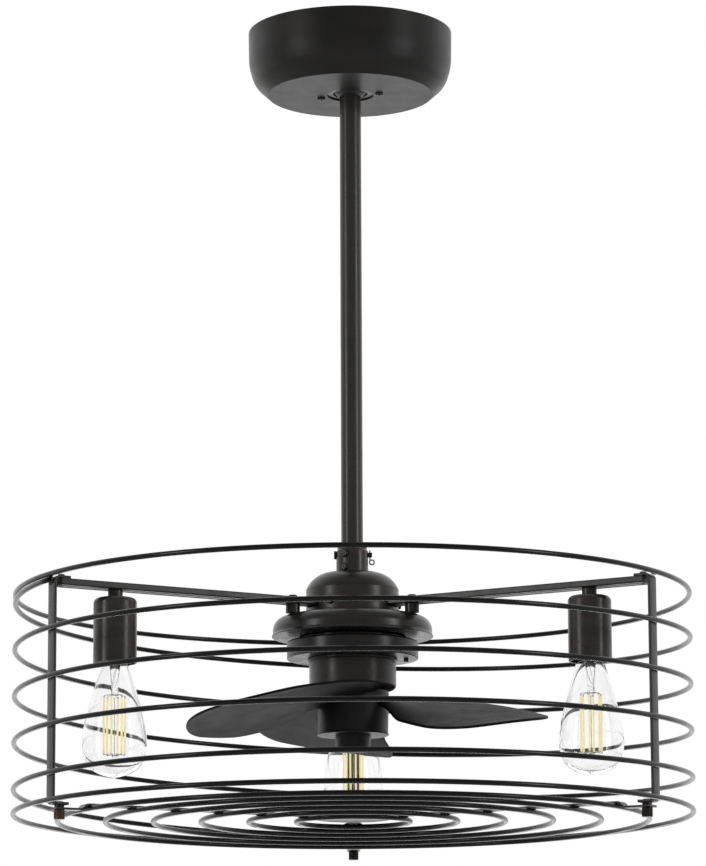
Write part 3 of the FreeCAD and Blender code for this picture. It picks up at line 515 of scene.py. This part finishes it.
STRAP_BEND = 4.2            # radius of the two turned corners
STRAP_CORNER = 0.7
STRAP_SHEET = 2.6
SHOULDER_R = 3.9            # washer-like head of the stud inside the foot
COLLAR_RI, COLLAR_RO = 2.6, 4.6
RIVET_R = 3.4               # rivet head on the strap's top
BEAD_HALF, BEAD_RISE = 5.6, 1.05
for name, az in SPOKES.items():
    out_dir = polar(az, 1.0)
    across = polar(az + 90.0, 1.0)
    mid = STRAP_RO - STRAP_T / 2
    bend = STRAP_BEND
    line = [(STRAP_RO - FOOT_LEN, STRAP_TOP - STRAP_T / 2)]
    for k in range(7):
        a = math.radians(90.0 - 15.0 * k)
        line.append((mid - bend + bend * math.cos(a), STRAP_TOP - STRAP_T / 2 - bend + bend * math.sin(a)))
    foot_mid = FOOT_TOP - FOOT_T / 2
    for k in range(7):
        a = math.radians(-15.0 * k)
        line.append((mid - bend + bend * math.cos(a), foot_mid + bend + bend * math.sin(a)))
    line.append((STRAP_RO - FOOT_LEN, foot_mid))
    strap = Build()
    path = [out_dir * r + Vector((0, 0, z)) for r, z in line]
    strap.bar(path, rounded_rect(STRAP_SHEET, STRAP_W, STRAP_CORNER), across)
    piece(strap.done("flat_strap_" + name), "hanging_frame", bronze, "bronze", "strap_" + name)
    at = polar(az, STUD_AT)
    stud = Build()
    shank = [(0, FOOT_TOP + 1.2), (SHOULDER_R, FOOT_TOP + 1.2, 0.8), (SHOULDER_R, FOOT_TOP - 0.2),
             (STUD_R, FOOT_TOP - 0.2), (STUD_R, NUT_BOTTOM + 2.2, 0.4), (0, NUT_BOTTOM + 2.2)]
    collar = [(COLLAR_RI, FOOT_TOP - FOOT_T), (COLLAR_RO, FOOT_TOP - FOOT_T),
              (COLLAR_RO, TAB_TOP + 0.05, 0.4), (COLLAR_RI, TAB_TOP + 0.05)]
    rivet = [(0, STRAP_TOP + 1.8), (RIVET_R, STRAP_TOP + 1.8, 1.2), (RIVET_R, STRAP_TOP - 0.1),
             (0, STRAP_TOP - 0.1)]
    for profile in (shank, collar, rivet):
        stud.lathe(round_outline(profile), 32, at)
    piece(stud.done("strap_stud_" + name), "hanging_frame", screw_coat, "black_screw")
    welds = Build()
    contact = CAGE_R - WIRE_R * 0.8
    first = ((COIL_AZ - az) % 360.0) / (360.0 * COIL_TURNS)
    heights = [TOP_RING_Z, BOTTOM_RING_Z]
    t = first
    while t <= 1.0001:
        heights.append(coil_point(min(t, 1.0)).z)
        t += 1.0 / COIL_TURNS
    for z in heights:
        for up in (-1, 1):
            spot = out_dir * contact + Vector((0, 0, z + up * WIRE_R * 0.72))
            if STRAP_TOP > spot.z > FOOT_TOP:
                bead(welds, spot, across, BEAD_HALF + rng.uniform(-0.5, 0.5), BEAD_RISE)
    piece(welds.done("strap_welds_" + name, 0), "hanging_frame", weld_metal, "wire")

# ---------------------------------------------------------------- grille spokes and centre disc
spider = Build()
for name, az in SPOKES.items():
    out_dir, across = polar(az, 1.0), polar(az + 90.0, 1.0)
    half_t = SPOKE_T / 2
    line = [(CENTRE_R - 9.0, SPOKE_TOP - half_t)]
    line += [(r, SPOKE_TOP - half_t) for r in (80.0, 140.0, 200.0, 260.0)]
    for k in range(9):
        u = k / 8.0
        s = u * u * (3 - 2 * u)
        line.append((JOGGLE_IN - 0.8 + (JOGGLE_OUT - JOGGLE_IN + 1.2) * u,
                     SPOKE_TOP - half_t + (TAB_TOP - SPOKE_TOP) * s))
    line.append((TAB_END, TAB_TOP - half_t))
    path = [out_dir * r + Vector((0, 0, z)) for r, z in line]
    spider.bar(path, rounded_rect(SPOKE_T, SPOKE_W, 0.5), across)
disc_top, disc_low = SPOKE_TOP + 0.02, SPOKE_TOP - SPOKE_T - 0.02
spider.lathe(round_outline([(0, disc_top), (CENTRE_R, disc_top, 0.7), (CENTRE_R, disc_low, 0.7),
                            (0, disc_low)]), 96)
piece(spider.done("grille_spider"), "grille", bronze, "wire", "grille_frame")
grille_welds = Build()
for az in SPOKES.values():
    for r in GRILLE_RADII:
        for side in (-1, 1):
            across = polar(az + 90.0, 1.0)
            under = Vector((0, 0, SPOKE_TOP - SPOKE_T - 0.4))
            spot = polar(az, r) + across * side * (SPOKE_W / 2 - 0.2) + under
            bead(grille_welds, spot, across, 2.4, 1.5)
piece(grille_welds.done("grille_welds", 0), "grille", weld_metal, "wire")


# ---------------------------------------------------------------- lamps
def offset_outline(points, distance):
    out = []
    n = len(points)
    for i, (r, z) in enumerate(points):
        a, b = points[max(0, i - 1)], points[min(n - 1, i + 1)]
        tr, tz = b[0] - a[0], b[1] - a[1]
        length = math.hypot(tr, tz)
        out.append((r + tz / length * distance, z - tr / length * distance))
    return out


glass_outer = [tuple(p) for p in smooth_line(list(GLASS) + [(0.0, BULB_TIP)], 5)]
glass_inner = [tuple(p) for p in smooth_line(offset_outline(GLASS, GLASS_T) + [(0.0, BULB_TIP + 1.6)], 5)]
base_outline = [(0, LAMP_BASE_TOP), (3.8, LAMP_BASE_TOP, 0.5), (4.6, LAMP_BASE_TOP - 0.8, 0.5),
                (5.0, LAMP_BASE_TOP - 2.2, 0.4), (8.6, LAMP_BASE_TOP - 3.6, 0.5),
                (11.2, LAMP_BASE_TOP - 6.0, 0.8)]
LEDS, LED_AT, LED_TOP, LED_LOW = 6, 10.0, -681.0, -736.5
LED_R, LEAD_R, ARM_LEAD_R = 1.0, 0.35, 0.33
FERRULE_R, FERRULE_H = 0.75, 1.8
THREAD_PITCH = 3.6
STEM = ((0, -640.6), (9.0, -640.6), (8.0, -645.0), (5.4, -652.0), (4.0, -662.0), (3.2, -672.0),
        (3.6, -678.0), (3.0, -682.0), (0, -683.2))
STEM_FOOT = ((0, -735.0), (1.8, -735.3), (2.4, -737.0), (1.8, -738.7), (0, -739.0))
for name, az in SPOKES.items():
    body = "lamp_" + name
    at = polar(az, SOCKET_AT)
    glass = Build()
    glass.lathe(glass_outer + glass_inner[::-1], 72, at)
    # the two walls meet at the neck; both end in a point below, so the pair is one closed shell
    piece(glass.done("lamp_glass_" + name, 60), body, bulb_glass, "lamp_glass", "bulb_glass_" + name)

    shell = Build()
    thread_top, thread_low = LAMP_BASE_TOP - 7.6, -635.6
    outline = round_outline(base_outline)
    rows = int((thread_top - thread_low) / THREAD_PITCH * 12)
    outline += [(12.2, thread_top + (thread_low - thread_top) * k / rows) for k in range(rows + 1)]
    outline += [(12.5, -636.4), (12.6, LAMP_BASE_LOW), (11.6, LAMP_BASE_LOW), (11.4, -618.0), (0, -618.0)]

    def thread(a, z, r, top=thread_top, low=thread_low):
        if not low - 0.01 <= z <= top + 0.01 or r < 12.0:
            return 0.0
        fade = min(1.0, (top - z) / 1.5, (z - low) / 1.5)
        return max(0.0, fade) * (0.36 * math.sin(a + 2 * math.pi * z / THREAD_PITCH) + 0.1)
    shell.lathe(outline, 64, at, ripple=thread)
    piece(shell.done("lamp_cap_" + name, 60), body, brass, "lamp_brass", "bulb_base_" + name)

    stem = Build()
    stem.lathe([tuple(p) for p in smooth_line(STEM, 5)], 40, at)
    stem.lathe([tuple(p) for p in smooth_line(STEM_FOOT, 4)], 24, at)
    piece(stem.done("lamp_stem_" + name, 60), body, stem_glass, "lamp_glass")

    leads, sticks = Build(), Build()
    centre_lead = [at + Vector((0, 0, z)) for z in (-682.0, -700.0, -720.0, -736.0)]
    leads.tube(centre_lead, LEAD_R, 8, up=Vector((1, 0, 0)))
    for k in range(LEDS):
        a = k * 60.0 + 15.0
        lean = polar(a, LED_AT)
        for z0, z1 in ((-680.0, LED_TOP), (-737.0, LED_LOW)):
            inner, outer = at + Vector((0, 0, z0)), at + lean + Vector((0, 0, z1))
            knee = inner + (outer - inner) * 0.4 + Vector((0, 0, 0.9))
            leads.tube([inner, knee, outer + Vector((0, 0, 0.3)), outer], ARM_LEAD_R, 8,
                       up=polar(a + 90.0, 1.0))
        sway = polar(a + 90.0, rng.uniform(-0.5, 0.5))
        line = [at + lean + sway * math.sin(math.pi * u) + Vector((0, 0, LED_TOP + (LED_LOW - LED_TOP) * u))
                for u in (0.03, 0.1, 0.3, 0.5, 0.7, 0.9, 0.97)]
        sticks.tube(line, LED_R, 12, up=Vector((1, 0, 0)))
        for z in (LED_TOP, LED_LOW + FERRULE_H):
            ferrule = [(0, z), (FERRULE_R, z, 0.2), (FERRULE_R, z - FERRULE_H, 0.2), (0, z - FERRULE_H)]
            leads.lathe(round_outline(ferrule, 3), 10, at + lean)
    piece(leads.done("lamp_leads_" + name, 60), body, lead_wire, "lamp_inner", "bulb_filament_" + name)
    piece(sticks.done("led_sticks_" + name, 60), body, phosphor, "lamp_inner")


# ---------------------------------------------------------------- blades
def half_chord(r):
    ks = BLADE_HALF_CHORD
    for (r0, c0), (r1, c1) in zip(ks, ks[1:]):
        if r <= r1:
            u = max(0.0, (r - r0) / (r1 - r0))
            u = u * u * (3 - 2 * u) * 0.5 + u * 0.5
            return c0 + (c1 - c0) * u
    return ks[-1][1]


def along(coeffs, s):
    return coeffs[0] + coeffs[1] * s + coeffs[2] * s * s


def blade_mid(r):
    s = (r - BLADE_ROOT_R) / BLADE_SPAN
    return BLADE_AZ + BLADE_SWEEP[0] * s + BLADE_SWEEP[1] * s * s


def blade_height(r, az):
    s = (r - BLADE_ROOT_R) / BLADE_SPAN
    arc = math.radians(az - blade_mid(r)) * r
    return along(BLADE_Z, s) + arc * math.tan(math.radians(along(BLADE_PITCH, s)))


def blade_mesh(turn, name):
    """Moulded blade: even wall, rounded rim, thickened root."""
    rows = [33.6 + (BLADE_ROUND_R - 33.6) * (k / 44.0) for k in range(45)]
    rows += [BLADE_ROUND_R + (BLADE_TIP_R - BLADE_ROUND_R) * math.sin(math.radians(90.0 * k / 22.0))
             for k in range(1, 22)]
    cols = 48
    us = [0.5 - 0.5 * math.cos(math.pi * k / cols) for k in range(cols + 1)]
    top, low = [], []
    for r in rows:
        k = 1.0
        if r > BLADE_ROUND_R:
            k = math.sqrt(max(0.0, 1 - ((r - BLADE_ROUND_R) / (BLADE_TIP_R - BLADE_ROUND_R)) ** 2))
        mid = blade_mid(r) + BLADE_TIP_SKEW * (1 - k)
        h = math.degrees(half_chord(r) * k / r)
        upper, lower = [], []
        for u in us:
            az = mid + h * (1 - 2 * u)
            z = blade_height(max(r, 30.0), az)
            edge = min(u, 1 - u) * 2 * half_chord(r) * k
            tip = BLADE_TIP_R - r
            d = max(0.0, min(1.0, min(edge, tip) / 1.5))
            half = BLADE_T / 2 * math.sqrt(max(0.0, 1 - (1 - d) ** 2))
            half += 2.2 * math.exp(-max(0.0, r - 35.0) / 3.2) * d
            upper.append(polar(az, r, min(z + half, BLADE_TOP_LIMIT)))
            lower.append(polar(az, r, min(z - half, BLADE_TOP_LIMIT - 0.4)))
        top.append(upper)
        low.append(lower)
    s_tip = blade_mid(BLADE_TIP_R) + BLADE_TIP_SKEW
    tip = polar(s_tip, BLADE_TIP_R, blade_height(BLADE_TIP_R, s_tip))
    verts, faces = [], []
    n_rows, n_cols = len(rows), cols + 1
    upper_index = [[0] * n_cols for _ in rows]
    lower_index = [[0] * n_cols for _ in rows]
    for i in range(n_rows):
        for j in range(n_cols):
            upper_index[i][j] = len(verts)
            verts.append(top[i][j])
            if j in (0, cols) and i:
                verts[-1] = (top[i][j] + low[i][j]) / 2
                lower_index[i][j] = upper_index[i][j]
            else:
                lower_index[i][j] = len(verts)
                verts.append(low[i][j])
    tip_index = len(verts)
    verts.append(tip)
    for i in range(n_rows - 1):
        for j in range(cols):
            faces.append((upper_index[i][j], upper_index[i][j + 1],
                          upper_index[i + 1][j + 1], upper_index[i + 1][j]))
            faces.append((lower_index[i][j], lower_index[i + 1][j],
                          lower_index[i + 1][j + 1], lower_index[i][j + 1]))
    for j in range(cols):
        faces.append((upper_index[-1][j], upper_index[-1][j + 1], tip_index))
        faces.append((lower_index[-1][j + 1], lower_index[-1][j], tip_index))
        faces.append((upper_index[0][j + 1], upper_index[0][j], lower_index[0][j], lower_index[0][j + 1]))
    for j in (0, cols):
        faces.append((upper_index[0][j], lower_index[0][j], lower_index[1][j]))
    a = math.radians(turn)
    turned = [Vector((v.x * math.cos(a) - v.y * math.sin(a), v.x * math.sin(a) + v.y * math.cos(a), v.z))
              for v in verts]
    return make(name, turned, faces, 60)


for k in range(3):
    moulded = blade_mesh(120.0 * k, "moulded_blade_%d" % (k + 1))
    piece(moulded, "rotor", blade_plastic, "blade_plastic", "blade_%d" % (k + 1))


# ---------------------------------------------------------------- room, light and camera
def look_at(obj, target):
    obj.rotation_euler = (Vector(target) - obj.location).to_track_quat("-Z", "Y").to_euler()


def softbox(name, where, target, size, power):
    data = bpy.data.lights.new(name, "AREA")
    data.shape = "RECTANGLE"
    data.size, data.size_y = size
    data.energy = power
    obj = bpy.data.objects.new(name, data)
    obj.location = where
    scene.collection.objects.link(obj)
    look_at(obj, target)
    return obj


FLOOR_HALF, FLOOR_Z = 14.0, -5.0
floor_mesh = bpy.data.meshes.new("floor")
corners = [(sx * FLOOR_HALF, sy * FLOOR_HALF, FLOOR_Z) for sx, sy in ((-1, -1), (1, -1), (1, 1), (-1, 1))]
floor_mesh.from_pydata(corners, [], [(0, 1, 2, 3)])
floor = bpy.data.objects.new("floor", floor_mesh)
scene.collection.objects.link(floor)
pale_floor = coat("pale_floor", (0.80, 0.80, 0.80), (0.84, 0.84, 0.84), rough=(0.6, 0.7), patch=3.0,
                  grain=60.0, bump=0.05)
paint(floor, pale_floor)

FRONT_LIGHT, BACK_LIGHT = 0.38, 1.35
# plain white surroundings to look at; for lighting they are bright behind the object and dim in front of it
world = bpy.data.worlds.new("studio")
world.use_nodes = True
sky, cable = world.node_tree.nodes, world.node_tree.links
plain = sky["Background"]
plain.inputs["Color"].default_value = (1, 1, 1, 1)
plain.inputs["Strength"].default_value = 1.0
heading = sky.new("ShaderNodeTexCoord")
parts = sky.new("ShaderNodeSeparateXYZ")
cable.new(heading.outputs["Generated"], parts.inputs["Vector"])
fall = sky.new("ShaderNodeMapRange")
fall.interpolation_type = "SMOOTHSTEP"
fall.inputs["From Min"].default_value = -0.35
fall.inputs["From Max"].default_value = 0.75
fall.inputs["To Min"].default_value = FRONT_LIGHT
fall.inputs["To Max"].default_value = BACK_LIGHT
cable.new(parts.outputs["Y"], fall.inputs["Value"])
lit = sky.new("ShaderNodeBackground")
cable.new(fall.outputs["Result"], lit.inputs["Strength"])
ray = sky.new("ShaderNodeLightPath")
seen = sky.new("ShaderNodeMath")
seen.operation = "MAXIMUM"
cable.new(ray.outputs["Is Camera Ray"], seen.inputs[0])
cable.new(ray.outputs["Is Transmission Ray"], seen.inputs[1])
choose = sky.new("ShaderNodeMixShader")
cable.new(seen.outputs["Value"], choose.inputs["Fac"])
cable.new(lit.outputs["Background"], choose.inputs[1])
cable.new(plain.outputs["Background"], choose.inputs[2])
cable.new(choose.outputs["Shader"], sky["World Output"].inputs["Surface"])
scene.world = world
scene.view_settings.view_transform = "Standard"

softbox("left_soft", (-2.4, -1.5, -0.1), (0, 0, -0.45), (0.5, 1.6), 12.0)
softbox("right_soft", (2.4, -1.3, -0.1), (0, 0, -0.45), (0.5, 1.6), 13.0)
softbox("under_soft", (0.0, 2.2, -2.0), (0, 0, -0.5), (2.6, 0.8), 20.0)

CAMERA_AT = Vector((0.0013, -3.8717, -1.1414))
CAMERA_PITCH = 10.755
CAMERA_ROLL = -0.25
camera_data = bpy.data.cameras.new("camera")
camera_data.sensor_width = 36.0
camera_data.lens = 166.7
camera = bpy.data.objects.new("camera", camera_data)
camera.location = CAMERA_AT
pitched = Matrix.Rotation(math.radians(90.0 + CAMERA_PITCH), 3, "X")
rolled = Matrix.Rotation(math.radians(CAMERA_ROLL), 3, "Z")
camera.rotation_euler = (pitched @ rolled).to_euler()
scene.collection.objects.link(camera)
scene.camera = camera
